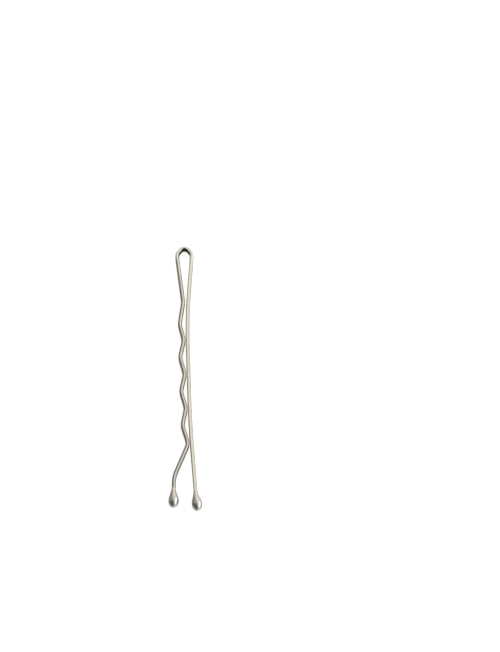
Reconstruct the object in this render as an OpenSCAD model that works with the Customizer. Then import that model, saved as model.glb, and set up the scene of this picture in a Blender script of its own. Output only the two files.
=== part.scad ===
/* [Wire] */
// Width of the rolled wire, across its flat faces
wire_w = 1.46; // [1.2:0.02:1.7]
// Thickness of the rolled wire, between its flat faces
wire_t = 0.72; // [0.56:0.02:0.86]

/* [Bow] */
// Clear width inside the bow at its widest
bow_inside_w = 1.94; // [1.7:0.02:2.6]
// Inside radius of the rounded crown
bow_crown_r = 0.64; // [0.4:0.02:0.8]
// Inside radius of each side, where the bow turns into a leg
bow_side_r = 1.04; // [0.7:0.02:1.2]
// Angle of the straight shoulders below the level of the crown
bow_shoulder_angle = 50; // [38:1:58]
// Straight wire that belongs to the bow at the top of each leg
bow_leg_run = 0.6; // [0.3:0.1:1.5]

/* [Straight leg] */
// Whole length of the pin, from the crown to the end of the longer tip
pin_l = 50.8; // [46:0.1:58]
// Lean of the upper run towards the other leg
upper_lean = 4.1; // [3.4:0.05:4.8]
// Length of the upper run below the bow
upper_run = 5.7; // [4.5:0.1:6.5]
// Turn of the gentle waist bend
waist_angle = 5.8; // [5:0.05:7]
// Radius of the waist bend
waist_r = 110; // [80:1:130]
// Length of the flat middle run, where an ornament is glued
middle_run = 9.3; // [7:0.1:11]
// Turn of the long lower bend
lower_angle = 2.6; // [2:0.05:4]
// Radius of the lower bend
lower_r = 220; // [150:5:260]

/* [Wavy leg] */
// Number of outward waves
waves = 4; // [2:1:4]
// Length of one wave
wave_pitch = 6.54; // [6:0.02:7]
// Height of a wave, from an inward crest to an outward one
wave_h = 0.63; // [0.45:0.01:0.75]
// Radius of the bend at each crest
wave_bend_r = 3; // [2:0.1:4]
// Clearance between an inward crest and the straight leg
crest_gap = 0.06; // [0.04:0.01:0.2]
// Clearance at the first inward bend, above the waves
first_gap = 0.25; // [0.15:0.01:0.5]
// Distance from the first inward bend to the first outward crest
first_wave_run = 3.9; // [3.4:0.1:4.5]
// Distance from the last inward crest to the end of the straight leg's wire
flare_l = 11.88; // [10:0.02:13]
// Distance between the axes of the two tips, across the pin
tip_spread = 4.25; // [3.6:0.05:5.2]
// How far the wavy leg ends short of the straight one
tip_stagger = 0.6; // [0:0.1:2]
// Radius of the bend where the last inward crest turns out into the flare
last_bend_r = 2.4; // [1.6:0.1:3]
// Radius of the bend that ends the flare, above the wavy leg's tip
flare_r = 5; // [3:0.25:6]
// Straight wire below the flare's bend
flare_run = 3.8; // [3.2:0.1:4.8]
// Outward lean of that straight wire
flare_lean = 2.4; // [0:0.1:5]

/* [Tips] */
// Diameter of each dipped tip
tip_d = 1.9; // [1.76:0.02:2.3]
// Length of each tip, from its film edge to its end
tip_l = 3.65; // [3.3:0.05:4.4]
// Length of the rounded end beyond the widest place
tip_end_l = 1.25; // [0.9:0.05:1.5]
// Length of wire held inside a tip
tip_seat = 2.4; // [2:0.05:2.8]
// Thickness of the film where a tip begins
tip_film = 0.04; // [0.03:0.01:0.08]
// How far each tip hangs off its wire's axis, towards the straight leg's side
tip_sag = 0.1; // [0:0.02:0.2]

/* [Hidden] */

// Steps round each round edge of the wire, and how far a drawn bend may miss the true curve
EDGE_STEPS = 8;
BEND_MISS = 0.002;
// Points round a tip, and rings along its neck and its rounded end
TIP_POINTS = 24;
TIP_NECK_RINGS = 9;
TIP_END_RINGS = 6;
// A crest's bend stays inside this share of the room between two crests
BEND_ROOM = 0.95;

STEEL = [0.80, 0.78, 0.72];
LACQUER = [0.74, 0.73, 0.68];

// A place on the wire's centre line is [x, y, heading], and a stretch of wire is [length, turn].
// A left turn is positive. The wire leaves the crown's middle both ways, and the legs point to -Y.
crown_right = [0, 0, 0];
crown_left = [0, 0, 180];

crown_line_r = bow_crown_r + wire_t / 2;
side_line_r = bow_side_r + wire_t / 2;
half_line_w = (bow_inside_w + wire_t) / 2;
shoulder_run = (half_line_w - crown_line_r * sin(bow_shoulder_angle)
    - side_line_r * (1 - sin(bow_shoulder_angle))) / cos(bow_shoulder_angle);
tip_r = tip_d / 2;
tip_beyond_wire = tip_l - tip_seat;
tip_neck_l = tip_l - tip_end_l;
leg_z = tip_r;

function arc_l(r, turn) = r * abs(turn) * PI / 180;
function left_of(heading) = [-sin(heading), cos(heading)];
function along(heading) = [cos(heading), sin(heading)];
function spot(place) = [place.x, place.y];
function total(list, k = 0) = k >= len(list) ? 0 : list[k][0] + total(list, k + 1);

// The place that lies a distance s down one stretch
function step_on(place, stretch, s) = stretch[1] == 0
    ? [place.x + s * cos(place.z), place.y + s * sin(place.z), place.z]
    : let (r = stretch[0] / (stretch[1] * PI / 180),
           heading = place.z + stretch[1] * s / stretch[0])
      [place.x + r * (sin(heading) - sin(place.z)),
       place.y - r * (cos(heading) - cos(place.z)),
       heading];

// The place that lies a distance s down a list of stretches
function walk(place, path, s, k = 0) = k == len(path) - 1 || s <= path[k][0]
    ? step_on(place, path[k], s)
    : walk(step_on(place, path[k], path[k][0]), path, s - path[k][0], k + 1);
function end_of(place, path) = walk(place, path, total(path));

// One half of the bow, down to the start of its side bend: side is 1 on the left and -1 on the right
function half_crown(side) = [
    [arc_l(crown_line_r, bow_shoulder_angle), side * bow_shoulder_angle],
    [shoulder_run, 0]];

// Right half of the bow and the straight leg
right_side_turn = 90 - bow_shoulder_angle + upper_lean;
right_bow = concat(half_crown(-1), [
    [arc_l(side_line_r, right_side_turn), -right_side_turn],
    [bow_leg_run, 0]]);
right_seam = end_of(crown_right, right_bow);
leg_bends = [
    [upper_run, 0],
    [arc_l(waist_r, waist_angle), waist_angle],
    [middle_run, 0],
    [arc_l(lower_r, lower_angle), lower_angle]];
last_bend_end = end_of(right_seam, leg_bends);

// Reach of a tip beyond its widest place, along Y and along X, for the heading of its wire
function tip_reach_y(heading) = norm([tip_end_l * sin(heading), tip_r * cos(heading)]);
function tip_reach_x(heading) = norm([tip_end_l * cos(heading), tip_r * sin(heading)]);

// The straight leg's tip ends at the pin's whole length below the crown's outer face
pin_end_y = wire_t / 2 - pin_l;
straight_widest_y = pin_end_y + tip_reach_y(last_bend_end.z);
widest_past_wire = tip_beyond_wire - tip_end_l;
lower_run = (straight_widest_y - last_bend_end.y - tip_sag * cos(last_bend_end.z))
    / sin(last_bend_end.z) - widest_past_wire;
straight_path = concat(leg_bends, [[lower_run, 0]]);
straight_end = end_of(right_seam, straight_path);
straight_widest = spot(straight_end) + widest_past_wire * along(straight_end.z)
    + tip_sag * left_of(straight_end.z);

// The wavy leg is a row of bends, each [centre, radius with the sign of its turn].
// A bend beside the straight leg is placed by its distance down that leg and its clearance from it.
function beside(s, offset) = let (p = walk(right_seam, straight_path, s))
    spot(p) - offset * left_of(p.z);
half_pitch = wave_pitch / 2;
crest_room = (pow(half_pitch, 2) + pow(wave_h, 2)) / (4 * wave_h);
crest_line_r = min(wave_bend_r, BEND_ROOM * crest_room);
function inward_bend(s, gap, r) = [beside(s, wire_t + gap + r), -r];
function outward_bend(s) = [beside(s, wire_t + crest_gap + wave_h - crest_line_r), crest_line_r];
// The crests are numbered from the bow, and set out from the last one, where the leg flares out
crests = 2 * waves;
function crest_at(k) = total(straight_path) - flare_l - (crests - k) * half_pitch;

left_side_start = end_of(crown_left, half_crown(1));
left_side_bend = [spot(left_side_start) + side_line_r * left_of(left_side_start.z), side_line_r];
flare_heading = -90 - flare_lean;
wavy_widest = [straight_widest.x - tip_spread,
    pin_end_y + tip_stagger + tip_reach_y(flare_heading)];
wavy_end = wavy_widest - widest_past_wire * along(flare_heading)
    - tip_sag * left_of(flare_heading);
flare_start = wavy_end - flare_run * along(flare_heading);
flare_bend = [flare_start + flare_r * left_of(flare_heading), flare_r];
bends = concat(
    [left_side_bend, inward_bend(crest_at(1) - first_wave_run, first_gap, crest_line_r)],
    [for (k = [1:crests]) k % 2 == 1 ? outward_bend(crest_at(k))
        : inward_bend(crest_at(k), crest_gap, k < crests ? crest_line_r : last_bend_r)],
    [flare_bend]);

// Heading and length of the straight wire between two bends, and the turn at a bend
function line_heading(a, b) = let (d = b[0] - a[0])
    atan2(d.y, d.x) - asin((b[1] - a[1]) / norm(d));
function line_l(a, b) = sqrt(pow(norm(b[0] - a[0]), 2) - pow(b[1] - a[1], 2));
last = len(bends) - 1;
headings = [for (k = [0:last]) k < last ? line_heading(bends[k], bends[k + 1]) : flare_heading];
left_side_turn = headings[0] - (left_side_start.z - 360);
left_bow = concat(half_crown(1), [
    [arc_l(side_line_r, left_side_turn), left_side_turn],
    [bow_leg_run, 0]]);
left_seam = end_of(crown_left, left_bow);
wavy_path = concat(
    [[line_l(bends[0], bends[1]) - bow_leg_run, 0]],
    [for (k = [1:last], part = [0, 1]) let (turn = headings[k] - headings[k - 1])
        part == 0 ? [arc_l(abs(bends[k][1]), turn), turn]
            : [k < last ? line_l(bends[k], bends[k + 1]) : flare_run, 0]]);

// The pin's middle, from the widest places of its tips, its crown and its end
box_left = wavy_widest.x - tip_reach_x(flare_heading);
box_right = straight_widest.x + tip_reach_x(straight_end.z);
box_middle = [(box_left + box_right) / 2, (wire_t / 2 + pin_end_y) / 2];

// Rolled wire in section, with round edges: points across its thickness and along its width
section = [for (side = [1, -1], k = [0:EDGE_STEPS]) let (turn = 180 * k / EDGE_STEPS)
    side * [wire_t / 2 * cos(turn), wire_t / 2 * sin(turn) + (wire_w - wire_t) / 2]];

// Steps that one stretch is drawn in
function bend_steps(stretch) = stretch[1] == 0 ? 1
    : let (r = stretch[0] / (abs(stretch[1]) * PI / 180))
      ceil(abs(stretch[1]) / (2 * acos(1 - BEND_MISS / r)));

// Places that a list of stretches is drawn through, without the first
function places_on(place, path, k = 0) = k == len(path) ? []
    : let (steps = bend_steps(path[k]))
      concat([for (j = [1:steps]) step_on(place, path[k], path[k][0] * j / steps)],
          places_on(step_on(place, path[k], path[k][0]), path, k + 1));

// The same places, passed the other way
function turned_back(places) = [for (k = [len(places) - 1:-1:0])
    [places[k].x, places[k].y, places[k].z + 180]];

// Closed skin over a row of rings with as many points each. It ends in a flat face or in one point.
module skin(rings, last_point = []) {
    n = len(rings[0]);
    end = (len(rings) - 1) * n;
    start_face = [[for (k = [0:n - 1]) k]];
    sides = [for (j = [0:len(rings) - 2], k = [0:n - 1], half = [0, 1])
        let (a = j * n + k, b = j * n + (k + 1) % n)
        half == 0 ? [a, a + n, b] : [b, a + n, b + n]];
    end_faces = len(last_point) == 0
        ? [[for (k = [n - 1:-1:0]) end + k]]
        : [for (k = [0:n - 1]) [end + k, end + n, end + (k + 1) % n]];
    polyhedron(
        concat([for (ring = rings) each ring], last_point),
        concat(start_face, sides, end_faces));
}

// Wire through a row of places, with its flat faces upright
module wire_through(places) {
    skin([for (place = places) let (middle = spot(place) - box_middle, left = left_of(place.z))
        [for (p = section) [middle.x + p.x * left.x, middle.y + p.x * left.y, leg_z + p.y]]]);
}

// What starts at the origin and points to +X, moved to a place on the wire
module at_place(place) {
    translate([place.x - box_middle.x, place.y - box_middle.y, leg_z])
        rotate([0, 0, place.z]) children();
}

// Half size of a tip a distance u from its film edge, where the wire has a half size of its own
function tip_ease(u) = (1 - cos(180 * u / tip_neck_l)) / 2;
function tip_half(u, wire_half) = u <= tip_neck_l
    ? wire_half + tip_film + (tip_r - wire_half - tip_film) * tip_ease(u)
    : tip_r * sqrt(max(0, 1 - pow((u - tip_neck_l) / tip_end_l, 2)));
function tip_ring(u) = let (a = tip_half(u, wire_t / 2), b = tip_half(u, wire_w / 2),
        sag = tip_sag * (u <= tip_neck_l ? tip_ease(u) : 1))
    [for (k = [0:TIP_POINTS - 1]) let (turn = k * 360 / TIP_POINTS)
        [u, a * cos(turn) + sag, a * sin(turn) + sign(sin(turn)) * (b - a)]];

// Drop of lacquer that runs out along the wire, from the film edge at the origin towards +X
module tip_drop() {
    neck = [for (k = [0:TIP_NECK_RINGS]) tip_ring(tip_neck_l * k / TIP_NECK_RINGS)];
    rounded_end = [for (k = [1:TIP_END_RINGS - 1])
        tip_ring(tip_neck_l + tip_end_l * sin(90 * k / TIP_END_RINGS))];
    skin(concat(neck, rounded_end), [[tip_l, tip_sag, 0]]);
}

// A tip on the end of a wire: the drop, less the seat that the wire fills
module tip_on(place) {
    at_place(place)
        difference() {
            translate([-tip_seat, 0, 0]) tip_drop();
            translate([-tip_l, 0, 0]) rotate([90, 0, 90]) linear_extrude(tip_l) polygon(section);
        }
}

module straight_leg() {
    color(STEEL) wire_through(concat([right_seam], places_on(right_seam, straight_path)));
}

module bow() {
    color(STEEL) wire_through(concat(
        turned_back(places_on(crown_left, left_bow)),
        [crown_right],
        places_on(crown_right, right_bow)));
}

module wavy_leg() {
    color(STEEL) wire_through(concat([left_seam], places_on(left_seam, wavy_path)));
}

module straight_leg_tip() {
    color(LACQUER) tip_on(straight_end);
}

module wavy_leg_tip() {
    color(LACQUER) tip_on(concat(wavy_end, flare_heading));
}

straight_leg();
bow();
wavy_leg();
straight_leg_tip();
wavy_leg_tip();
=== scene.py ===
"""A crimped hair pin, bent from one length of flat spring wire, with a dipped drop on each end.

The wire's route is worked out from the pin's own sizes. A geometry node tree sweeps the rolled
section along each stretch of it, and each drop is built ring by ring around the end of its wire.
Sizes are millimetres in the classes that hold them, and metres in every mesh.
"""

import logging
import math
from dataclasses import dataclass
from enum import Enum
from functools import reduce
from typing import Iterable, Sequence

import bpy
from bpy.types import ID, Material, Mesh, Node, NodeSocket as Socket, NodeTree, Object, World
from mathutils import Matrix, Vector


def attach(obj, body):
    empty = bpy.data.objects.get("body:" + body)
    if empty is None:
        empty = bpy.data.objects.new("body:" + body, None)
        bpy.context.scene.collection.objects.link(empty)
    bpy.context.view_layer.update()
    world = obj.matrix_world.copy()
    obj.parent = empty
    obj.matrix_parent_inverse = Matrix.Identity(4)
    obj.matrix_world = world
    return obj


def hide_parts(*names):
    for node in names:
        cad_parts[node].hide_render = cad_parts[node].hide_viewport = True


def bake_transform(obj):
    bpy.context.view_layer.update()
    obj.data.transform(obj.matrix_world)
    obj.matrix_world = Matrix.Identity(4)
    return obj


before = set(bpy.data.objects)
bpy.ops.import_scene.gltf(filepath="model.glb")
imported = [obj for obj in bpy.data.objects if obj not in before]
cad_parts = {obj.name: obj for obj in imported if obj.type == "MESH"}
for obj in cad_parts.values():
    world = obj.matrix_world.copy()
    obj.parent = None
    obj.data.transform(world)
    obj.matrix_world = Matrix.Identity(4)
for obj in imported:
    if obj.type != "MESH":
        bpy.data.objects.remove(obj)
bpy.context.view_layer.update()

LOG = logging.getLogger("hair_pin")
MM = 0.001
# Faces that meet at this angle or more, in degrees, keep a sharp edge between them.
CAP_ANGLE = 60
# A sine below this counts as 0.
NIL = 1e-9
WHITE = (1.0, 1.0, 1.0, 1.0)

Colour = tuple[float, float, float]
Point = tuple[float, float]
Span = tuple[float, float]


class Body(Enum):
    """The two sides of the pin, which turn about the bow."""

    STRAIGHT = "straight_side"
    WAVY = "wavy_side"


class Slot(Enum):
    """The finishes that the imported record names."""

    WIRE = "wire_lacquer"
    TIP = "tip_lacquer"


# ---- the wire's route


@dataclass(frozen=True)
class Stretch:
    """A stretch of wire: its length, and its turn in degrees, to the left where positive."""

    length: float
    turn: float = 0.0


@dataclass(frozen=True)
class Place:
    """A place on the wire's centre line, and the wire's heading there in degrees."""

    x: float
    y: float
    heading: float

    def after(self, stretch: Stretch, run: float) -> "Place":
        """Finds the place that lies some way down a stretch.

        Args:
            stretch: The stretch that starts here.
            run: The distance down it.

        Returns:
            The place at that distance.
        """
        start = math.radians(self.heading)
        if stretch.turn == 0:
            x, y = self.x + run * math.cos(start), self.y + run * math.sin(start)
            return Place(x, y, self.heading)
        radius = stretch.length / math.radians(stretch.turn)
        end = start + run / radius
        x = self.x + radius * (math.sin(end) - math.sin(start))
        y = self.y - radius * (math.cos(end) - math.cos(start))
        return Place(x, y, math.degrees(end))

    def beside(self, offset: float) -> Point:
        """Returns the point that lies a distance to the left of the wire here."""
        a = math.radians(self.heading)
        return self.x - offset * math.sin(a), self.y + offset * math.cos(a)

    def ahead(self, run: float) -> "Place":
        """Returns the place a distance straight ahead."""
        return self.after(Stretch(run), run)

    def back(self) -> "Place":
        """Returns the same place, passed the other way."""
        return Place(self.x, self.y, self.heading + 180)


def arc(radius: float, turn: float) -> Stretch:
    """Returns a bend of a radius and a signed turn in degrees."""
    return Stretch(abs(radius * math.radians(turn)), turn)


def total(path: Iterable[Stretch]) -> float:
    """Returns the length of a row of stretches."""
    return sum(stretch.length for stretch in path)


def walk(start: Place, path: Sequence[Stretch], run: float) -> Place:
    """Walks down a row of stretches.

    Args:
        start: Where the row starts.
        path: The stretches in order.
        run: How far to walk.

    Returns:
        The place reached.
    """
    place = start
    for stretch in path[:-1]:
        if run <= stretch.length:
            return place.after(stretch, run)
        place = place.after(stretch, stretch.length)
        run -= stretch.length
    return place.after(path[-1], run)


@dataclass(frozen=True)
class Bend:
    """A bend of the wavy leg: its centre, and its radius with the sign of its turn."""

    x: float
    y: float
    radius: float

    def line_to(self, other: "Bend") -> tuple[float, float]:
        """Finds the straight wire that runs from this bend to the next.

        Args:
            other: The next bend.

        Returns:
            The line's heading in degrees, and its length.
        """
        dx, dy = other.x - self.x, other.y - self.y
        apart = math.hypot(dx, dy)
        step = other.radius - self.radius
        heading = math.degrees(math.atan2(dy, dx) - math.asin(step / apart))
        return heading, math.sqrt(apart**2 - step**2)


@dataclass(frozen=True)
class PinSizes:
    """The pin's own sizes, in millimetres and degrees."""

    wire_w: float = 1.46
    wire_t: float = 0.72
    bow_inside_w: float = 1.94
    bow_crown_r: float = 0.64
    bow_side_r: float = 1.04
    bow_shoulder_angle: float = 50
    bow_leg_run: float = 0.6
    pin_l: float = 50.8
    upper_lean: float = 4.1
    upper_run: float = 5.7
    waist_turn: float = 5.8
    waist_r: float = 110
    middle_run: float = 9.3
    lower_turn: float = 2.6
    lower_r: float = 220
    waves: int = 4
    wave_pitch: float = 6.54
    wave_h: float = 0.63
    wave_bend_r: float = 3
    bend_room: float = 0.95
    crest_gap: float = 0.06
    first_gap: float = 0.25
    first_wave_run: float = 3.9
    flare_l: float = 11.88
    tip_spread: float = 4.25
    tip_stagger: float = 0.6
    last_bend_r: float = 2.4
    flare_r: float = 5
    flare_run: float = 3.8
    flare_lean: float = 2.4
    tip_d: float = 1.9
    tip_l: float = 3.65
    tip_end_l: float = 1.25
    tip_seat: float = 2.4
    tip_sag: float = 0.1

    @property
    def neck_l(self) -> float:
        """A drop's length from its film's edge to its widest place."""
        return self.tip_l - self.tip_end_l


class Route:
    """The wire's whole route, with the crown's middle at the origin and the legs towards -Y."""

    def __init__(self, sizes: PinSizes) -> None:
        """Works out every stretch.

        Args:
            sizes: The pin's sizes.
        """
        self.sizes = sizes
        crown_line = sizes.bow_crown_r + sizes.wire_t / 2
        self.side_line = sizes.bow_side_r + sizes.wire_t / 2
        a = math.radians(sizes.bow_shoulder_angle)
        across = (sizes.bow_inside_w + sizes.wire_t) / 2 - crown_line * math.sin(a)
        shoulder = (across - self.side_line * (1 - math.sin(a))) / math.cos(a)
        self.half_crown = [arc(crown_line, sizes.bow_shoulder_angle), Stretch(shoulder)]
        self.crown_right, self.crown_left = Place(0, 0, 0), Place(0, 0, 180)
        self.right_bow = self._right_bow()
        self.right_seam = walk(self.crown_right, self.right_bow, total(self.right_bow))
        self.straight_path = self._straight_path()
        self.straight_end = walk(self.right_seam, self.straight_path, total(self.straight_path))
        self._wavy_side()
        self.middle = self._middle()

    @property
    def widest_past_wire(self) -> float:
        """How far a tip's widest place lies beyond the wire's end."""
        return self.sizes.neck_l - self.sizes.tip_seat

    def _widest(self, end: Place) -> Place:
        """Returns a tip's widest place, off the axis of the wire that ends there."""
        return Place(*end.ahead(self.widest_past_wire).beside(self.sizes.tip_sag), end.heading)

    @property
    def end_y(self) -> float:
        """Where the longer tip ends."""
        return self.sizes.wire_t / 2 - self.sizes.pin_l

    def _reach(self, heading: float) -> Point:
        """Returns a tip's reach beyond its widest place along X and Y, for its wire's heading."""
        a, end, half = math.radians(heading), self.sizes.tip_end_l, self.sizes.tip_d / 2
        c, s = math.cos(a), math.sin(a)
        return math.hypot(end * c, half * s), math.hypot(end * s, half * c)

    def _right_bow(self) -> list[Stretch]:
        """Returns the bow's right half, from the crown's middle to the straight leg."""
        s = self.sizes
        turn = 90 - s.bow_shoulder_angle + s.upper_lean
        first, shoulder = self.half_crown
        crown = Stretch(first.length, -first.turn)
        return [crown, shoulder, arc(self.side_line, -turn), Stretch(s.bow_leg_run)]

    def _straight_path(self) -> list[Stretch]:
        """Returns the straight leg's stretches, the last one as long as the pin needs."""
        s = self.sizes
        upper, middle = Stretch(s.upper_run), Stretch(s.middle_run)
        path = [upper, arc(s.waist_r, s.waist_turn), middle, arc(s.lower_r, s.lower_turn)]
        bent = walk(self.right_seam, path, total(path))
        a = math.radians(bent.heading)
        axis_y = self.end_y + self._reach(bent.heading)[1] - s.tip_sag * math.cos(a)
        return path + [Stretch((axis_y - bent.y) / math.sin(a) - self.widest_past_wire)]

    def _beside(self, run: float, offset: float, radius: float) -> Bend:
        """Returns a bend that lies beside the straight leg, a distance down it."""
        x, y = walk(self.right_seam, self.straight_path, run).beside(-offset)
        return Bend(x, y, radius)

    def _wave_bends(self) -> list[Bend]:
        """Returns the bends of the waves, from the first inward one to the last."""
        s = self.sizes
        half_pitch = s.wave_pitch / 2
        room = (half_pitch**2 + s.wave_h**2) / (4 * s.wave_h)
        radius = min(s.wave_bend_r, s.bend_room * room)
        crests = 2 * s.waves
        runs = [
            total(self.straight_path) - s.flare_l - (crests - k) * half_pitch
            for k in range(1, crests + 1)
        ]
        first = runs[0] - s.first_wave_run
        bends = [self._beside(first, s.wire_t + s.first_gap + radius, -radius)]
        for k, run in enumerate(runs, start=1):
            if k % 2:
                bends.append(self._beside(run, s.wire_t + s.crest_gap + s.wave_h - radius, radius))
            else:
                r = radius if k < crests else s.last_bend_r
                bends.append(self._beside(run, s.wire_t + s.crest_gap + r, -r))
        return bends

    def _wavy_side(self) -> None:
        """Works out the bow's left half and the wavy leg."""
        s = self.sizes
        self.flare_heading = -90 - s.flare_lean
        self.wavy_widest = Place(
            self._widest(self.straight_end).x - s.tip_spread,
            self.end_y + s.tip_stagger + self._reach(self.flare_heading)[1],
            self.flare_heading,
        )
        axis = Place(*self.wavy_widest.beside(-s.tip_sag), self.flare_heading)
        self.wavy_end = axis.ahead(-self.widest_past_wire)
        side = walk(self.crown_left, self.half_crown, total(self.half_crown))
        flare = self.wavy_end.ahead(-s.flare_run)
        bends = [
            Bend(*side.beside(self.side_line), self.side_line),
            *self._wave_bends(),
            Bend(*flare.beside(s.flare_r), s.flare_r),
        ]
        lines = [a.line_to(b) for a, b in zip(bends, bends[1:])]
        lines.append((self.flare_heading, s.flare_run))
        side_turn = lines[0][0] - (side.heading - 360)
        self.left_bow = [*self.half_crown, arc(self.side_line, side_turn), Stretch(s.bow_leg_run)]
        self.left_seam = walk(self.crown_left, self.left_bow, total(self.left_bow))
        self.wavy_path = [Stretch(lines[0][1] - s.bow_leg_run)]
        for bend, before, line in zip(bends[1:], lines, lines[1:]):
            self.wavy_path += [arc(bend.radius, line[0] - before[0]), Stretch(line[1])]

    def _middle(self) -> Point:
        """Returns the middle of the pin's box, which the frame puts at its origin."""
        left = self.wavy_widest.x - self._reach(self.flare_heading)[0]
        right = self._widest(self.straight_end).x + self._reach(self.straight_end.heading)[0]
        return (left + right) / 2, (self.sizes.wire_t / 2 + self.end_y) / 2

    def in_frame(self, place: Place, up: float = 0.0) -> Vector:
        """Returns a place's point in the frame, in metres, a distance above the wire's middle."""
        x, y = place.x - self.middle[0], place.y - self.middle[1]
        return Vector((x, y, self.sizes.tip_d / 2 + up)) * MM


# ---- helpers


def put(name: str, data: ID) -> Object:
    """Puts a mesh, lamp or camera in the scene and returns its object."""
    thing = bpy.data.objects.new(name, data)
    bpy.context.scene.collection.objects.link(thing)
    return thing


@dataclass(frozen=True)
class Graph:
    """A small writer of node trees: each call adds a node and joins or sets its inputs."""

    tree: NodeTree

    def add(self, kind: str, inputs: dict | None = None, **settings: object) -> Node:
        """Adds a node.

        Args:
            kind: The node's type.
            inputs: For each input, by name or number, its value or the socket to join to it.
            settings: The node's own settings.

        Returns:
            The node.
        """
        node = self.tree.nodes.new(kind)
        for name, value in settings.items():
            setattr(node, name, value)
        for key, value in (inputs or {}).items():
            if isinstance(value, Socket):
                self.tree.links.new(value, node.inputs[key])
            else:
                node.inputs[key].default_value = value
        return node

    def math(self, operation: str, *values: object) -> Socket:
        """Adds a maths node and returns its result."""
        return self.add("ShaderNodeMath", dict(enumerate(values)), operation=operation).outputs[0]

    def product(self, *values: object) -> Socket:
        """Multiplies two or more values with each other."""
        return reduce(lambda a, b: self.math("MULTIPLY", a, b), values)

    def ramp(self, value: object, ends: Span, to: Span = (0.0, 1.0)) -> Socket:
        """Maps a value smoothly from one range to another, and no further.

        Args:
            value: The value's socket.
            ends: Where its range starts and ends.
            to: The results there.

        Returns:
            The result's socket.
        """
        labels = ("From Min", "From Max", "To Min", "To Max")
        inputs = {"Value": value, **dict(zip(labels, (*ends, *to)))}
        node = self.add("ShaderNodeMapRange", inputs, interpolation_type="SMOOTHSTEP", clamp=True)
        return node.outputs["Result"]

    def span(self, length: object, ends: Span, to: Span = (0.0, 1.0)) -> Socket:
        """Maps a length smoothly, as ramp does, from a range that is given in millimetres."""
        return self.ramp(length, (ends[0] * MM, ends[1] * MM), to)

    def mix(self, share: object, a: object, b: object, blend: str = "MIX") -> Socket:
        """Mixes two colours.

        Args:
            share: The share of the second colour.
            a: The first colour.
            b: The second colour.
            blend: How they mix.

        Returns:
            The colour's socket.
        """
        def rgba(value: object) -> object:
            """Returns a colour as the socket wants it."""
            return (*value, 1.0) if isinstance(value, tuple) and len(value) == 3 else value

        inputs = {0: share, 6: rgba(a), 7: rgba(b)}
        node = self.add("ShaderNodeMix", inputs, data_type="RGBA", blend_type=blend)
        return node.outputs[2]


class NodeGroup:
    """A node tree with named sockets, which each subclass fills with its own nodes.

    INPUTS and OUTPUTS give each socket's name, and its type without the leading NodeSocket.
    """

    NAME: str
    KIND = "ShaderNodeTree"
    INPUTS: dict[str, str]
    OUTPUTS: dict[str, str]

    def __init__(self) -> None:
        """Builds the tree once."""
        self.tree = bpy.data.node_groups.new(self.NAME, self.KIND)
        self.sockets = {}
        for side, rows in (("INPUT", self.INPUTS), ("OUTPUT", self.OUTPUTS)):
            for name, kind in rows.items():
                self.sockets[side, name] = self.tree.interface.new_socket(
                    name=name, in_out=side, socket_type="NodeSocket" + kind
                )
        g = Graph(self.tree)
        g.add("NodeGroupOutput", self._fill(g, g.add("NodeGroupInput").outputs))

    def _fill(self, g: Graph, given: Sequence) -> dict[str, Socket]:
        """Adds the nodes to the tree's inputs, and returns the socket that each output shows."""
        raise NotImplementedError


def material_graph(material: Material | World) -> Graph:
    """Empties the node tree of a material or a world, and returns its writer."""
    material.use_nodes = True
    material.node_tree.nodes.clear()
    return Graph(material.node_tree)


# ---- the swept wire


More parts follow.
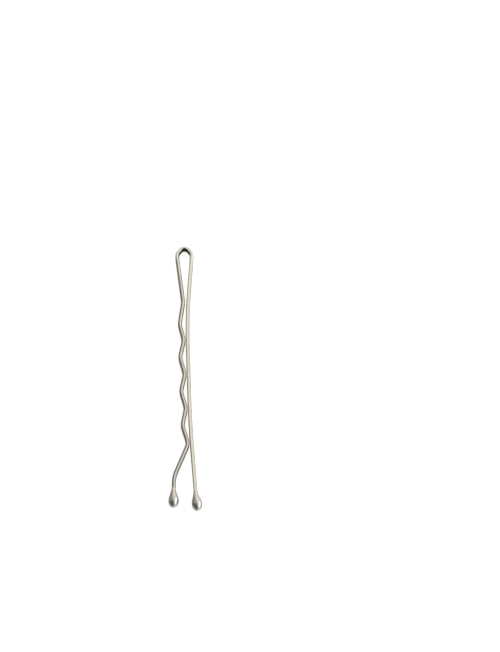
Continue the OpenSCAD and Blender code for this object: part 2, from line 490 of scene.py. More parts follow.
class SweepTree(NodeGroup):
    """The geometry node tree that sweeps the rolled section along a row of points."""

    NAME = "rolled_wire_sweep"
    KIND = "GeometryNodeTree"
    INPUTS = {
        "Geometry": "Geometry", "Width": "Float", "Thickness": "Float", "Edge steps": "Int",
        "Start run": "Float", "Finish": "Material",
    }
    OUTPUTS = {"Geometry": "Geometry"}
    EDGE_STEPS = 10
    # The fillets' share of the thickness, a little under half so that they never meet.
    FILLET_SHARE = 0.4999

    def _fill(self, g: Graph, given: Sequence) -> dict[str, Socket]:
        """Sweeps the section, and stores how far across, up and along the wire each point is."""
        points = g.add("GeometryNodeMeshToPoints", {"Mesh": given["Geometry"]})
        line = g.add("GeometryNodePointsToCurves", {"Points": points.outputs["Points"]})
        curves = {"Curve": line.outputs["Curves"]}
        upright = g.add("GeometryNodeSetCurveNormal", curves, mode="Z_UP")
        length = g.add("GeometryNodeSplineParameter").outputs["Length"]
        run = g.math("ADD", length, given["Start run"])
        measured = self._store(g, upright.outputs["Curve"], "run", run)
        inputs = {"Curve": measured, "Profile Curve": self._section(g, given), "Fill Caps": True}
        swept = g.add("GeometryNodeCurveToMesh", inputs)
        read = [
            g.add("GeometryNodeInputNamedAttribute", {"Name": name}, data_type="FLOAT").outputs[0]
            for name in ("across", "up", "run")
        ]
        place = g.add("ShaderNodeCombineXYZ", dict(enumerate(read))).outputs[0]
        placed = self._store(g, swept.outputs["Mesh"], "wire_place", place, "FLOAT_VECTOR")
        real = g.add("GeometryNodeRealizeInstances", {"Geometry": placed})
        inputs = {"Geometry": real.outputs["Geometry"], "Material": given["Finish"]}
        return {"Geometry": g.add("GeometryNodeSetMaterial", inputs).outputs["Geometry"]}

    @staticmethod
    def _store(g: Graph, mesh: Socket, name: str, value: Socket, kind: str = "FLOAT") -> Socket:
        """Stores a named attribute on the points and returns the geometry."""
        inputs = {"Geometry": mesh, "Name": name}
        node = g.add("GeometryNodeStoreNamedAttribute", inputs, data_type=kind, domain="POINT")
        g.tree.links.new(value, node.inputs["Value"])
        return node.outputs["Geometry"]

    def _section(self, g: Graph, given: Sequence) -> Socket:
        """Draws the rolled section, with full round edges.

        Args:
            g: The graph to write in.
            given: The tree's inputs.

        Returns:
            The section as a closed curve, which knows how far across and up each point lies.
        """
        inputs = {"Width": given["Thickness"], "Height": given["Width"]}
        oblong = g.add("GeometryNodeCurvePrimitiveQuadrilateral", inputs)
        fillets = {
            "Curve": oblong.outputs["Curve"],
            "Count": given["Edge steps"],
            "Radius": g.product(given["Thickness"], self.FILLET_SHARE),
            "Limit Radius": True,
        }
        rounded = g.add("GeometryNodeFilletCurve", fillets, mode="POLY")
        at = g.add("ShaderNodeSeparateXYZ", {0: g.add("GeometryNodeInputPosition").outputs[0]})
        across = self._store(g, rounded.outputs["Curve"], "across", at.outputs["X"])
        return self._store(g, across, "up", at.outputs["Y"])

    def sweep(
        self,
        name: str,
        route: Route,
        places: Sequence[Place],
        start_run: float,
        finish: Material,
    ) -> Object:
        """Sweeps the wire through a row of places.

        Args:
            name: The piece's name.
            route: The route that the places lie on.
            places: The places in order, with the pin's outer side to their left.
            start_run: The run from the crown's middle to the first place.
            finish: The wire's finish.

        Returns:
            The piece, as a plain mesh in its place.
        """
        sizes = route.sizes
        guide = bpy.data.meshes.new(name + "_line")
        guide.from_pydata([route.in_frame(place) for place in places], [], [])
        maker = put(name + "_maker", guide)
        modifier = maker.modifiers.new("sweep", "NODES")
        modifier.node_group = self.tree
        values = {"Width": sizes.wire_w * MM, "Thickness": sizes.wire_t * MM, "Finish": finish}
        values |= {"Edge steps": self.EDGE_STEPS, "Start run": start_run * MM}
        for label, value in values.items():
            modifier[self.sockets["INPUT", label].identifier] = value
        bpy.context.view_layer.update()
        graph = bpy.context.evaluated_depsgraph_get()
        mesh = bpy.data.meshes.new_from_object(maker.evaluated_get(graph))
        mesh.name = name
        maker.modifiers.remove(modifier)
        bpy.data.objects.remove(maker)
        soften(mesh)
        return put(name, mesh)


def soften(mesh: Mesh) -> None:
    """Shades a mesh smoothly, with its caps' edges kept sharp."""
    mesh.shade_smooth()
    mesh.set_sharp_from_angle(angle=math.radians(CAP_ANGLE))


@dataclass(frozen=True)
class Wire:
    """The one length of wire, in the three stretches that the pin bends between.

    Between two places of a sweep it turns by TURN_STEP degrees and runs RUN_STEP at most.
    """

    TURN_STEP = 2.5
    RUN_STEP = 1.2

    route: Route
    tree: SweepTree
    finish: Material

    def _places(self, start: Place, path: Sequence[Stretch]) -> list[Place]:
        """Lists the places that a path is swept through.

        Args:
            start: Where the path starts.
            path: The stretches in order.

        Returns:
            The places, with the first and the last.
        """
        places = [start]
        for stretch in path:
            here = places[-1]
            steps = max(abs(stretch.turn) / self.TURN_STEP, stretch.length / self.RUN_STEP, 1)
            steps = math.ceil(steps)
            places += [here.after(stretch, stretch.length * k / steps) for k in range(1, steps + 1)]
        return places

    def _dress(self, piece: Object, node: str) -> Object:
        """Lets a stretch stand for its node in the wire's finish."""
        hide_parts(node)
        return piece

    def straight_leg(self) -> Object:
        """Makes the straight leg, which rides on its own side."""
        route = self.route
        places = self._places(route.right_seam, route.straight_path)
        start = total(route.right_bow)
        piece = self.tree.sweep("straight_leg_wire", route, places, start, self.finish)
        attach(piece, Body.STRAIGHT.value)
        return self._dress(piece, "straight_leg")

    def wavy_leg(self) -> Object:
        """Makes the wavy leg, which rides on its own side."""
        route = self.route
        places = [p.back() for p in reversed(self._places(route.left_seam, route.wavy_path))]
        start = -total(route.left_bow) - total(route.wavy_path)
        piece = self.tree.sweep("wavy_leg_wire", route, places, start, self.finish)
        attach(piece, Body.WAVY.value)
        return self._dress(piece, "wavy_leg")

    def bow(self) -> Object:
        """Makes the bow between the two sides, as one fixed piece."""
        route = self.route
        left = [p.back() for p in reversed(self._places(route.crown_left, route.left_bow))]
        places = left + self._places(route.crown_right, route.right_bow)[1:]
        run = -total(route.left_bow)
        piece = self.tree.sweep("bow_wire", route, places, run, self.finish)
        half = route.sizes.wire_t / 2
        start = route.in_frame(Place(*route.right_seam.beside(-half), 0))
        end = route.in_frame(Place(*route.left_seam.beside(half), 0))
        end.y = start.y
        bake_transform(piece)
        return self._dress(piece, "bow")


# ---- the dipped tips


@dataclass
class DippedTip:
    """A drop of lacquer on the end of a wire, which starts as a thin film round it.

    The neck's rings lie closer together towards the film, by the power that neck_crowding gives.
    Where the film starts, the wrap value moves each point's side as if it lay that far to the
    left, so that the painted shade on the drop's left side reaches further round the neck.
    """

    name: str
    node: str
    body: Body
    end: Place
    shade_wrap: float = 0.0
    film: float = 0.035
    film_run: float = 0.22
    around: int = 48
    neck_rings: int = 26
    neck_crowding: float = 1.5
    end_rings: int = 14

    def _half(self, sizes: PinSizes, run: float, wire_half: float) -> float:
        """Finds the drop's half size.

        Args:
            sizes: The pin's sizes.
            run: The distance from the film's edge.
            wire_half: The wire's half size the same way.

        Returns:
            The half size.
        """
        neck, full = sizes.neck_l, sizes.tip_d / 2
        if run <= neck:
            ease = (1 - math.cos(math.pi * run / neck)) / 2
            film = self.film * math.sqrt(min(1.0, run / self.film_run))
            return wire_half + film + (full - wire_half - film) * ease
        return full * math.sqrt(max(0.0, 1 - ((run - neck) / sizes.tip_end_l) ** 2))

    def _ring(self, sizes: PinSizes, run: float) -> list[tuple[float, float, float]]:
        """Returns one ring of the drop: its run, and each point's place across and up."""
        a = self._half(sizes, run, sizes.wire_t / 2)
        b = self._half(sizes, run, sizes.wire_w / 2)
        sag = sizes.tip_sag * (1 - math.cos(math.pi * min(1.0, run / sizes.neck_l))) / 2
        ring = []
        for turn in self._turns():
            rise = math.sin(turn)
            lift = math.copysign(b - a, rise) if abs(rise) > NIL else 0.0
            ring.append((run, a * math.cos(turn) + sag, a * rise + lift))
        return ring

    def _turns(self) -> list[float]:
        """Returns the angle of each point round a ring, from the drop's right side."""
        return [2 * math.pi * k / self.around for k in range(self.around)]

    def _point(self, route: Route, run: float, across: float, up: float) -> Vector:
        """Returns a point of the drop in the frame, from where it lies along and off its axis."""
        place = self.end.ahead(run - route.sizes.tip_seat)
        return route.in_frame(Place(*place.beside(across), place.heading), up)

    def _mark_places(self, mesh: Mesh, sizes: PinSizes, runs: Sequence[float]) -> None:
        """Stores where each point lies on the drop, for its finish.

        Args:
            mesh: The drop's mesh, ring by ring.
            sizes: The pin's sizes.
            runs: Each ring's distance from the film's edge, in millimetres.
        """
        places: list[float] = []
        for run in runs:
            # Near the film the side moves left, which carries the painted shade further round the
            # neck.
            wrap = self.shade_wrap * max(0.0, 1 - run / sizes.neck_l)
            for turn in self._turns():
                places += (math.cos(turn) - wrap, math.sin(turn), run * MM)
        places += (0.0, 0.0, sizes.tip_l * MM)
        stored = mesh.attributes.new("drop_place", "FLOAT_VECTOR", "POINT")
        stored.data.foreach_set("vector", places)

    def build(self, route: Route, finish: Material) -> Object:
        """Makes the drop.

        Args:
            route: The wire's route.
            finish: The drop's finish.

        Returns:
            The drop, as a closed mesh in its place.
        """
        sizes, neck = route.sizes, route.sizes.neck_l
        rings = range(self.neck_rings + 1)
        runs = [neck * (k / self.neck_rings) ** self.neck_crowding for k in rings]
        runs += [
            neck + sizes.tip_end_l * math.sin(math.pi / 2 * k / self.end_rings)
            for k in range(1, self.end_rings)
        ]
        places = [place for run in runs for place in self._ring(sizes, run)]
        places.append((sizes.tip_l, sizes.tip_sag, 0.0))
        points = [self._point(route, *place) for place in places]
        n = self.around
        faces = [tuple(range(n))]
        for j in range(len(runs) - 1):
            for k in range(n):
                p, q = j * n + k, j * n + (k + 1) % n
                faces.append((p, p + n, q + n, q))
        last = (len(runs) - 1) * n
        faces += [(last + k, last + n, last + (k + 1) % n) for k in range(n)]
        mesh = bpy.data.meshes.new(self.name)
        mesh.from_pydata(points, [], faces)
        mesh.materials.append(finish)
        self._mark_places(mesh, sizes, runs)
        soften(mesh)
        piece = put(self.name, mesh)
        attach(piece, self.body.value)
        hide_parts(self.node)
        return piece


# ---- the finishes


class MetalFlake(NodeGroup):
    """The metal flakes in the lacquer, as a group for shaders."""

    NAME = "metal_flake"
    INPUTS = {"Place": "Vector", "Flakes per metre": "Float"}
    OUTPUTS = {"Shade": "Float", "Height": "Float"}

    def _fill(self, g: Graph, given: Sequence) -> dict[str, Socket]:
        """Cuts the lacquer into flakes, each with its own shade and height."""
        inputs = {"Vector": given["Place"], "Scale": given["Flakes per metre"]}
        cells = g.add("ShaderNodeTexVoronoi", inputs | {"Randomness": 1.0})
        shade, height, _ = g.add("ShaderNodeSeparateColor", {0: cells.outputs["Color"]}).outputs
        return {"Shade": shade, "Height": height}


class Rub(NodeGroup):
    """The soft marks of handling, as a group for shaders."""

    NAME = "handling_rub"
    INPUTS = {"Place": "Vector", "Marks per metre": "Float", "Lengthwise": "Vector"}
    OUTPUTS = {"Rub": "Float"}
    DETAIL = 4.0
    FINE_SHARE = 0.55

    def _fill(self, g: Graph, given: Sequence) -> dict[str, Socket]:
        """Draws the marks out along the wire."""
        inputs = {0: given["Place"], 1: given["Lengthwise"]}
        drawn = g.add("ShaderNodeVectorMath", inputs, operation="MULTIPLY").outputs[0]
        inputs = {"Vector": drawn, "Scale": given["Marks per metre"]}
        inputs |= {"Detail": self.DETAIL, "Roughness": self.FINE_SHARE}
        return {"Rub": g.add("ShaderNodeTexNoise", inputs).outputs["Fac"]}


@dataclass(frozen=True)
class Grain:
    """The grain of a lacquer: its flakes, marks of handling, orange peel, gloss and clear coat.

    The scales are counts per metre. The gloss is the roughness at both ends of the handling.
    """

    flake_scale: float
    rub_scale: float
    rub_drawn: tuple[float, float, float]
    peel_scale: float
    flake_height: float
    bump: float
    bump_depth: float
    gloss: Span
    tint: Colour
    coat: float = 0.0
    coat_roughness: float = 0.03
    metallic: float = 0.95
    peel_detail: float = 2.0
    flake_tones: Span = (0.90, 1.10)
    rub_span: Span = (0.3, 0.7)


class Lacquer:
    """A lacquer over bright metal, whose subclasses know where it lies and how it is coloured."""

    name: str
    grain: Grain

    def build(self, sizes: PinSizes, flake: MetalFlake, rub: Rub) -> Material:
        """Makes the material.

        Args:
            sizes: The pin's sizes.
            flake: The flake group.
            rub: The rub group.

        Returns:
            The material.
        """
        material = bpy.data.materials.new(self.name)
        g = material_graph(material)
        grain, place = self.grain, self._place(g)
        inputs = {"Place": place, "Flakes per metre": grain.flake_scale}
        flakes = g.add("ShaderNodeGroup", inputs, node_tree=flake.tree).outputs
        inputs = {"Place": place, "Marks per metre": grain.rub_scale}
        inputs["Lengthwise"] = grain.rub_drawn
        rubbed = g.add("ShaderNodeGroup", inputs, node_tree=rub.tree).outputs["Rub"]
        tone = g.ramp(flakes["Shade"], (0.0, 1.0), grain.flake_tones)
        tint = g.add("ShaderNodeCombineColor", {0: tone, 1: tone, 2: tone}).outputs[0]
        inputs = {"Vector": place, "Scale": grain.peel_scale, "Detail": grain.peel_detail}
        peel = g.add("ShaderNodeTexNoise", inputs).outputs["Fac"]
        height = g.math("MULTIPLY_ADD", flakes["Height"], grain.flake_height, peel)
        inputs = {"Strength": grain.bump, "Distance": grain.bump_depth * MM, "Height": height}
        bump = g.add("ShaderNodeBump", inputs)
        colour = self._colour(g, sizes, place, rubbed)
        inputs = {
            "Base Color": g.mix(1.0, colour, tint, "MULTIPLY"),
            "Roughness": g.ramp(rubbed, grain.rub_span, grain.gloss),
            "Metallic": grain.metallic,
            "Specular Tint": (*grain.tint, 1.0),
            "Normal": bump.outputs["Normal"],
            "Coat Weight": grain.coat,
            "Coat Roughness": grain.coat_roughness,
        }
        shader = g.add("ShaderNodeBsdfPrincipled", inputs)
        g.add("ShaderNodeOutputMaterial", {"Surface": shader.outputs[0]})
        return material

    def _place(self, g: Graph) -> Socket:
        """Returns where each point lies, in metres."""
        raise NotImplementedError

    def _colour(self, g: Graph, sizes: PinSizes, place: Socket, rubbed: Socket) -> Socket:
        """Returns the colour, by where a point lies and how much handling has marked it."""
        raise NotImplementedError


class ShadeTone(Enum):
    """The tones of the wire's painted shade: dim, cool grey and near black."""

    DIM_SHADE = (0.172, 0.163, 0.14)
    COOL_SHADE = (0.17, 0.172, 0.168)
    DEEP_SHADE = (0.0232, 0.026, 0.0186)


@dataclass(frozen=True)
class ShadeMark:
    """A painted shade on the wire: its tone, the spans over which it comes up, and its share.

    It lies on the round edges, and where on_flat is set in part on the flat faces too.
    """

    tone: ShadeTone
    across: Span
    run: Span
    share: float = 1.0
    on_flat: bool = False


@dataclass(frozen=True)
class WireLacquer(Lacquer):
    """The champagne lacquer on the wire.

    Its flat faces are painted a shade darker than its round edges, which shows as darker rims,
    and the border between them follows the handling noise. Painted shade darkens the wavy leg,
    the edges and inner faces of the legs and the inside of the bow, a painted reflection tints the
    crown green-grey and darkens the flare's edges, and a painted highlight runs down the straight
    leg's crest. Spans are millimetres. Across grows towards the inside of the pin. The run is 0 at
    the crown's middle, grows down the straight leg and falls down the wavy leg.
    """

    name: str = "champagne_wire_lacquer"
    grain: Grain = Grain(
        flake_scale=16000.0, rub_scale=900.0, rub_drawn=(1.0, 1.0, 0.25), peel_scale=3200.0,
        flake_height=0.12, bump=0.25, bump_depth=0.02, gloss=(0.28, 0.42), tint=(0.5, 0.48, 0.42),
    )

    # The faces are painted a shade darker than the edges, which shows as darker rims along the
    # wire.
    face: Colour = (0.59, 0.55, 0.445)
    edge: Colour = (0.67, 0.622, 0.505)
    # Painted highlight down the straight leg's crest.
    crest_highlight: Colour = (0.86, 0.81, 0.68)
    # Painted reflection: a green-grey on the round edges round the crown.
    crown: Colour = (0.60, 0.635, 0.55)
    # Painted shade down the wavy leg, on its faces and on its edges.
    wavy_shade_face: Colour = (0.25, 0.237, 0.20)
    wavy_shade_edge: Colour = (0.565, 0.535, 0.448)
    # Painted reflection of shade on the flare's edges.
    flare_shade: Colour = (0.41, 0.42, 0.415)

    rounding: Span = (-0.10, 0.14)
    flat_share: float = 0.25
    rub_depth: float = 0.16
    edge_start: float = 0.10
    wavy_shade_run: Span = (-4.0, -8.0)
    wavy_shade_widen: float = 0.05
    flare_run: Span = (-38.0, -42.0)
    flare_shade_share: float = 0.6
    highlight_run: Span = (0.8, 2.5)
    highlight_rise: Span = (-0.06, 0.06)
    highlight_fall: Span = (0.28, 0.15)
    crown_reflection_run: Span = (5.0, 2.4)
    crown_reflection_share: float = 0.7
    # Painted shade: the wavy leg's outer side, the straight leg's outer edge from near the bow, the
    # wavy leg's inner side, and the straight leg's inner edge lower down.
    marks: Sequence[ShadeMark] = (
        ShadeMark(ShadeTone.DIM_SHADE, across=(0.02, -0.20), run=(-2.0, -3.4), on_flat=True),
        ShadeMark(ShadeTone.COOL_SHADE, across=(0.04, -0.22), run=(1.5, 5.0), share=0.44),
        ShadeMark(ShadeTone.DEEP_SHADE, across=(0.05, 0.40), run=(-2.0, -3.4), share=0.5, on_flat=True),
        ShadeMark(ShadeTone.DIM_SHADE, across=(0.10, 0.32), run=(15.0, 45.0), share=0.6),
    )
    # Painted shade inside the bow, near black, drawn to a point under the crown by the crease.
    inner_shade_across: Span = (0.14, 0.28)
    inner_shade_middle: float = -0.5
    inner_shade_edge_run: Span = (2.55, 2.2)
    inner_shade_flat_run: Span = (4.4, 1.0)
    crease: float = 0.18
    crease_run: Span = (0.9, 0.0)

    def _place(self, g: Graph) -> Socket:
        """Returns how far across, up and along the wire each point is."""
        return g.add("ShaderNodeAttribute", attribute_name="wire_place").outputs["Vector"]

    def _colour(self, g: Graph, sizes: PinSizes, place: Socket, rubbed: Socket) -> Socket:
        """Paints the wire."""
        return WirePainter(g, self, sizes, place).colour(rubbed)


class WirePainter:
    """Paints the wire's lacquer into a material, by where each point lies on the wire."""

    def __init__(self, g: Graph, look: WireLacquer, sizes: PinSizes, place: Socket) -> None:
        """Measures the wire.

        Args:
            g: The graph to write in.
            look: The lacquer.
            sizes: The pin's sizes.
            place: How far across, up and along the wire each point lies, in metres.
        """
        self.g = g
        self.look = look
        self.half_w = sizes.wire_w / 2
        self.flat_half = (sizes.wire_w - sizes.wire_t) / 2
        self.across, up, self.run = g.add("ShaderNodeSeparateXYZ", {0: place}).outputs
        self.off_middle = g.math("ABSOLUTE", up)
        self.off_crown = g.math("ABSOLUTE", self.run)
        start, end = look.rounding
        self.rounded = g.span(self.off_middle, (self.flat_half + start, self.flat_half + end))
        self.both = g.ramp(self.rounded, (0.0, 1.0), (look.flat_share, 1.0))
        # Where the wavy leg's painted shade comes in.
        self.wavy_shade = g.span(self.run, look.wavy_shade_run)

    def colour(self, rubbed: Socket) -> Socket:
        """Returns the colour, layer by layer, from the handling noise, with painted shade and
        highlight.
        """
        g, look = self.g, self.look
        flat = g.mix(g.product(self.wavy_shade, self.both), look.face, look.wavy_shade_face)
        colour = g.mix(self._unshaded_edge(rubbed), flat, self._edge())
        # Painted reflection round the crown.
        crown = g.span(self.off_crown, look.crown_reflection_run, (0.0, look.crown_reflection_share))
        colour = g.mix(g.product(crown, self.both), colour, look.crown)
        for mark in look.marks:
            colour = self._shaded(colour, mark)
        return g.mix(self._inner_bow_shade(), colour, ShadeTone.DEEP_SHADE.value)

    def _unshaded_edge(self, rubbed: Socket) -> Socket:
        """Returns 1 along the round edges and 0 towards the faces' painted shade, with a border
        that the handling noise roughens and the wavy leg's painted shade draws outwards.
        """
        g, look = self.g, self.look
        shade_shifted = g.math("MULTIPLY_ADD", self.wavy_shade, -look.wavy_shade_widen * MM, self.off_middle)
        border = g.math("MULTIPLY_ADD", rubbed, look.rub_depth * MM, shade_shifted)
        return g.span(border, (self.flat_half + look.edge_start, self.half_w))

    def _edge(self) -> Socket:
        """Returns the edge colour: painted shade, and a painted highlight down the straight leg's
        crest.
        """
        g, look = self.g, self.look
        colour = g.mix(self.wavy_shade, look.edge, look.wavy_shade_edge)
        flare = g.span(self.run, look.flare_run, (0.0, look.flare_shade_share))
        colour = g.mix(flare, colour, look.flare_shade)
        rise, fall = g.span(self.across, look.highlight_rise), g.span(self.across, look.highlight_fall)
        highlight = g.product(rise, fall, g.span(self.run, look.highlight_run))
        return g.mix(highlight, colour, look.crest_highlight)

    def _shaded(self, colour: Socket, mark: ShadeMark) -> Socket:
        """Lays a painted shade over a colour."""
        g = self.g
        across, run = g.span(self.across, mark.across), g.span(self.run, mark.run)
        where = g.product(across, run, self.both if mark.on_flat else self.rounded, mark.share)
        return g.mix(where, colour, mark.tone.value)

    def _inner_bow_shade(self) -> Socket:
        """Returns the painted shade inside the bow: sharp at the edges, faded on the flat, pointed
        at the crown.
        """
        g, look = self.g, self.look
        aside = g.math("ABSOLUTE", g.math("SUBTRACT", self.run, look.inner_shade_middle * MM))
        sharp, faded = g.span(aside, look.inner_shade_edge_run), g.span(aside, look.inner_shade_flat_run)
        near = g.math("MULTIPLY_ADD", self.rounded, g.math("SUBTRACT", sharp, faded), faded)
        crease = g.span(self.off_crown, look.crease_run, (0.0, look.crease * MM))
        hollow = g.span(g.math("ADD", self.across, crease), look.inner_shade_across)
        return g.product(hollow, near)


@dataclass(frozen=True)
class Patch:
    """A patch on a drop, and the spans over which it comes up.

    The run is millimetres from the film's edge, and fade the patch's share at its ends. The side
    is -1 on the drop's left and 1 on its right, and the height 0 at its middle and 1 at its top.
    """

    run: Span
    fade: Span
    sides: Sequence[Span]
    heights: Sequence[Span] = ()

    def mask(self, g: Graph, at: Sequence[Socket]) -> Socket:
        """Works out how much of the patch each point shows.

        Args:
            g: The graph to write in.
            at: The point's side, height and run.

        Returns:
            The mask's socket.
        """
        side, height, run = at
        ramps = [g.ramp(side, ends) for ends in self.sides]
        ramps += [g.ramp(height, ends) for ends in self.heights]
        return g.product(*ramps, g.span(run, self.run, self.fade))


@dataclass(frozen=True)
class TipLacquer(Lacquer):
    """The glossier lacquer on the dipped drops.

    It is thin on the neck, has painted shade down its left side, round its end and along its
    right rim, and a painted highlight right of the middle.
    """

    name: str = "champagne_tip_lacquer"
    grain: Grain = Grain(
        flake_scale=12000.0, rub_scale=1400.0, rub_drawn=(1.0, 1.0, 1.0), peel_scale=2200.0,
        flake_height=0.0, bump=0.35, bump_depth=0.03, gloss=(0.07, 0.17), tint=(0.3, 0.29, 0.27),
        coat=0.15, coat_roughness=0.06,
    )

    body: Colour = (0.44, 0.422, 0.375)
    thin: Colour = (0.54, 0.512, 0.44)
    neck: Colour = (0.60, 0.565, 0.465)
    # Painted shade on the drop: its left side, round its end and along its right rim.
    tip_shade: Colour = (0.215, 0.208, 0.195)
    # Painted highlight right of the drop's middle.
    tip_highlight: Colour = (0.65, 0.64, 0.605)

    thin_span: Span = (0.35, 0.65)
    neck_run: Span = (0.3, 2.3)
    # Where the painted shade lies on the left side and round the end.
    left: Patch = Patch((0.0, 1.2), (0.35, 0.9), sides=((-0.2, -0.9),), heights=((-0.5, 0.3),))
    end: Patch = Patch((1.2, 3.1), (0.0, 0.85), sides=((0.45, -0.3),), heights=((-0.1, 0.3),))
    # Where the painted highlight lies.
    tip_highlight_patch: Patch = Patch(
        (1.0, 1.8), (0.0, 0.75), sides=((0.0, 0.3), (0.85, 0.6)), heights=((0.2, 0.6),)
    )
    # The painted shade along the right rim.
    right: Patch = Patch((0.8, 1.8), (0.0, 0.45), sides=((0.7, 0.98),))

    def _place(self, g: Graph) -> Socket:
        """Returns each point in the drop's own axes."""
        return g.add("ShaderNodeTexCoord").outputs["Object"]

    def _colour(self, g: Graph, sizes: PinSizes, place: Socket, rubbed: Socket) -> Socket:
        """Paints the drop."""
        drop = g.add("ShaderNodeAttribute", attribute_name="drop_place").outputs["Vector"]
        side, up, run = g.add("ShaderNodeSeparateXYZ", {0: drop}).outputs
        at = (side, g.math("ABSOLUTE", up), run)
        colour = g.mix(g.ramp(rubbed, self.thin_span), self.body, self.thin)
        colour = g.mix(g.span(run, self.neck_run), self.neck, colour)
        tip_shade = g.math("MAXIMUM", self.left.mask(g, at), self.end.mask(g, at))
        colour = g.mix(tip_shade, colour, self.tip_shade)
        colour = g.mix(self.tip_highlight_patch.mask(g, at), colour, self.tip_highlight)
        return g.mix(self.right.mask(g, at), colour, self.tip_shade)


# ---- the studio


def direction(azimuth: float, elevation: float) -> Vector:
    """Returns the way to a place round the pin: azimuth 0 is beyond its tips, 90 on its right."""
    a, e = math.radians(azimuth), math.radians(elevation)
    return Vector((math.sin(a) * math.cos(e), -math.cos(a) * math.cos(e), math.sin(e)))


def between(ends: Span, share: float) -> float:
    """Returns the value that lies a share of the way along a span."""
    return ends[0] + (ends[1] - ends[0]) * share


def aim(thing: Object, at: Vector, way: Vector) -> None:
    """Puts a lamp or a camera in its place, and turns it to look a given way."""
    thing.location = at
    thing.rotation_mode = "QUATERNION"
    thing.rotation_quaternion = way.to_track_quat("-Z", "Y")


@dataclass(frozen=True)
class SoftBox:
    """A soft lamp that looks at the pin."""

    name: str
    azimuth: float
    elevation: float
    size: float
    power: float
    distance: float = 0.8

    def build(self) -> None:
        """Hangs the lamp."""
        lamp = bpy.data.lights.new(self.name, "AREA")
        lamp.shape = "DISK"
        lamp.size = self.size
        lamp.energy = self.power
        at = direction(self.azimuth, self.elevation) * self.distance
        aim(put(self.name, lamp), at, -at)


@dataclass(frozen=True)
class Flag:
    """A grey card that metal reflects, and that nothing else sees."""

    name: str
    azimuths: Span
    elevations: Span
    tone: float
    distance: float = 0.6
    steps: int = 12

    def build(self) -> None:
        """Hangs the card as a curved sheet round the pin."""
        shares = [k / self.steps for k in range(self.steps + 1)]
        points = [
            direction(between(self.azimuths, k), between(self.elevations, j)) * self.distance
            for j in shares
            for k in shares
        ]
        row = self.steps + 1
        corners = [j * row + k for j in range(self.steps) for k in range(self.steps)]
        faces = [(a, a + 1, a + row + 1, a + row) for a in corners]
        mesh = bpy.data.meshes.new(self.name)
        mesh.from_pydata(points, [], faces)
        card = put(self.name, mesh)
        material = bpy.data.materials.new(self.name)
        g = material_graph(material)
        glow = g.add("ShaderNodeEmission", {"Color": WHITE, "Strength": self.tone})
        g.add("ShaderNodeOutputMaterial", {"Surface": glow.outputs[0]})
        mesh.materials.append(material)
        for ray in ("camera", "diffuse", "shadow", "transmission", "volume_scatter"):
            setattr(card, "visible_" + ray, False)


@dataclass
class Studio:
    """The white floor, the white room, the lamps and the grey cards."""

    floor_size: float = 8.0
    floor_colour: Colour = (0.8, 0.8, 0.8)
    floor_glow: float = 0.80
    room_light: float = 0.3
    lamps: Sequence[SoftBox] = (
        SoftBox("key_lamp", 106, 34, size=0.36, power=0.6),
        SoftBox("side_lamp", 70, 36, size=0.42, power=0.85),
        SoftBox("back_lamp", 170, 55, size=0.60, power=0.3),
    )
    flags: Sequence[Flag] = (
        Flag("left_card", (-150, -90), (0, 55), tone=0.7),
        Flag("front_card", (-100, 22), (0, 74), tone=0.35),
    )

    @staticmethod
    def _seen(g: Graph) -> Socket:
        """Returns 1 for the rays that show the background: camera, glossy and transmission."""
        path = g.add("ShaderNodeLightPath").outputs
        seen = g.math("MAXIMUM", path["Is Camera Ray"], path["Is Glossy Ray"])
        return g.math("MAXIMUM", seen, path["Is Transmission Ray"])

    def _floor(self) -> None:
        """Lays the floor, which keeps the pin's shadow."""
        half = self.floor_size / 2
        mesh = bpy.data.meshes.new("floor")
        corners = [(-half, -half, 0), (half, -half, 0), (half, half, 0), (-half, half, 0)]
        mesh.from_pydata(corners, [], [(0, 1, 2, 3)])
        floor = put("floor", mesh)
        material = bpy.data.materials.new("white_floor")
        g = material_graph(material)
        matt = g.add("ShaderNodeBsdfDiffuse", {"Color": (*self.floor_colour, 1.0)})
        strength = g.product(self._seen(g), self.floor_glow)
        glow = g.add("ShaderNodeEmission", {"Color": WHITE, "Strength": strength})
        both = g.add("ShaderNodeAddShader", {0: matt.outputs[0], 1: glow.outputs[0]})
        g.add("ShaderNodeOutputMaterial", {"Surface": both.outputs[0]})
        mesh.materials.append(material)

    def _room(self) -> None:
        """Lights the room: plain white where it is seen, and soft where it lights."""
        world = bpy.data.worlds.new("white_room")
        g = material_graph(world)
        strength = g.ramp(self._seen(g), (0.0, 1.0), (self.room_light, 1.0))
        glow = g.add("ShaderNodeBackground", {"Color": WHITE, "Strength": strength})
        g.add("ShaderNodeOutputWorld", {"Surface": glow.outputs[0]})
        bpy.context.scene.world = world

    def build(self) -> None:
        """Sets the studio up."""
        self._floor()
        self._room()
        for item in (*self.lamps, *self.flags):
            item.build()
        bpy.context.scene.view_settings.view_transform = "Standard"


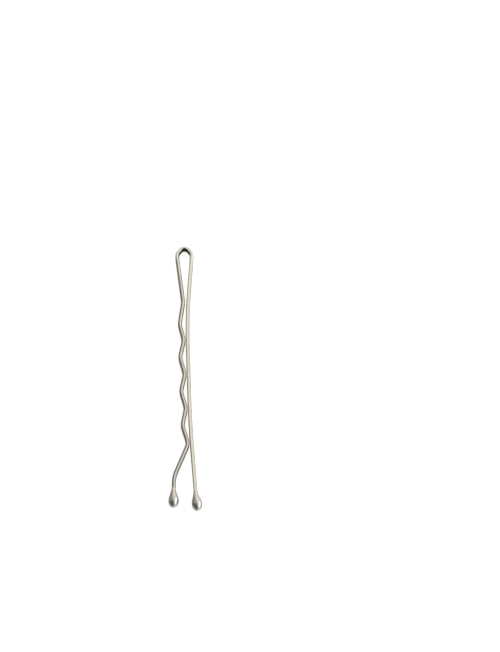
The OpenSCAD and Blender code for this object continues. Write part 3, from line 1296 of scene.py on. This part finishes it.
@dataclass(frozen=True)
class PhotoView:
    """The camera: where it stands, and where the pin's middle lies in the picture."""

    image_w: int = 500
    image_h: int = 652
    pixels_per_mm: float = 5.5
    middle_px: Point = (185.55, 378.6)
    elevation: float = 70.3
    distance: float = 3.0
    sensor: float = 36.0
    clip: Span = (0.01, 20)

    def build(self, sizes: PinSizes) -> None:
        """Sets the camera up.

        Args:
            sizes: The pin's sizes.
        """
        right = (self.image_w / 2 - self.middle_px[0]) / self.pixels_per_mm * MM
        below = (self.middle_px[1] - self.image_h / 2) / self.pixels_per_mm * MM
        back, up = direction(0, self.elevation), direction(180, 90 - self.elevation)
        data = bpy.data.cameras.new("photo_camera")
        data.sensor_width = self.sensor
        data.lens = self.sensor * self.distance / (self.image_h / self.pixels_per_mm * MM)
        data.clip_start, data.clip_end = self.clip
        camera = put("photo_camera", data)
        middle = Vector((right, 0, sizes.tip_d / 2 * MM))
        aim(camera, middle + up * below + back * self.distance, -back)
        bpy.context.scene.camera = camera


# ---- building it


def clear_start_up() -> None:
    """Removes what a new file starts with."""
    for name in ("Cube", "Light", "Camera"):
        if name in bpy.data.objects:
            bpy.data.objects.remove(bpy.data.objects[name])


def main() -> None:
    """Builds the pin, its studio and its camera."""
    logging.basicConfig(level=logging.INFO, format="%(name)s: %(message)s")
    clear_start_up()
    sizes = PinSizes()
    route = Route(sizes)
    flake, rub = MetalFlake(), Rub()
    wire = Wire(route, SweepTree(), WireLacquer().build(sizes, flake, rub))
    tip_finish = TipLacquer().build(sizes, flake, rub)
    tips = (
        DippedTip("straight_leg_drop", "straight_leg_tip", Body.STRAIGHT, route.straight_end),
        DippedTip("wavy_leg_drop", "wavy_leg_tip", Body.WAVY, route.wavy_end, shade_wrap=0.4),
    )
    pieces = [wire.straight_leg(), wire.bow(), wire.wavy_leg()]
    pieces += [tip.build(route, tip_finish) for tip in tips]
    for piece in pieces:
        LOG.info("%s: %d faces", piece.name, len(piece.data.polygons))
    Studio().build()
    PhotoView().build(sizes)


if __name__ == "__main__":
    main()
